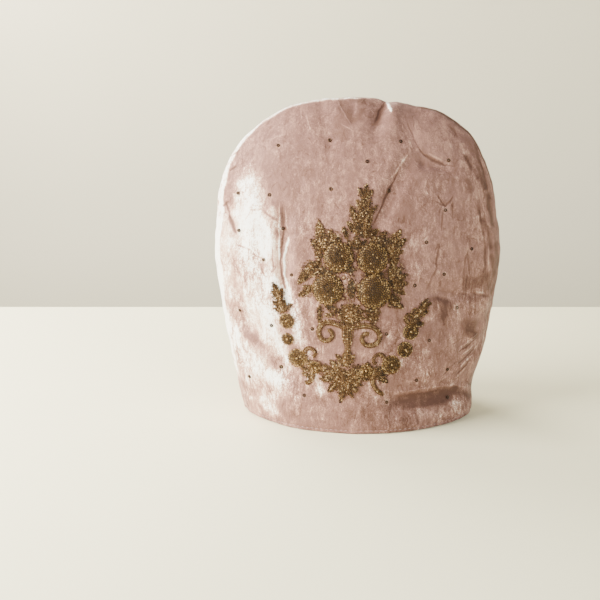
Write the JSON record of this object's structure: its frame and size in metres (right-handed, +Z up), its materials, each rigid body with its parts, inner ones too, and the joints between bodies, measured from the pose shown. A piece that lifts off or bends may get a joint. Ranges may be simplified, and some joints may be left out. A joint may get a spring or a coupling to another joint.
{
  "type": "tea cosy",
  "caption": "Padded velvet tea cosy of a front and a back panel joined by one arched seam, open at the hem so that it drops over a teapot.",
  "frame": {"origin": "on the table, under the middle of the hem, in the plane of the seam", "axes": "+Z up towards the crown; the front panel faces -Y; X runs along the width; the seam lies in the plane Y = 0"},
  "size_m": [0.3059, 0.194, 0.3379],
  "materials": {
    "front_velvet": "crushed velvet, blush pink, silky sheen",
    "back_velvet": "crushed velvet, blush pink, silky sheen",
    "lining_cloth": "plain woven cotton, the padded layers' inner side",
    "bead_gold": "antique gold glass seed beads and wire"
  },
  "bodies": {
    "root": {"front_panel": "front_velvet", "back_panel": "back_velvet"}
  },
  "joints": []
}
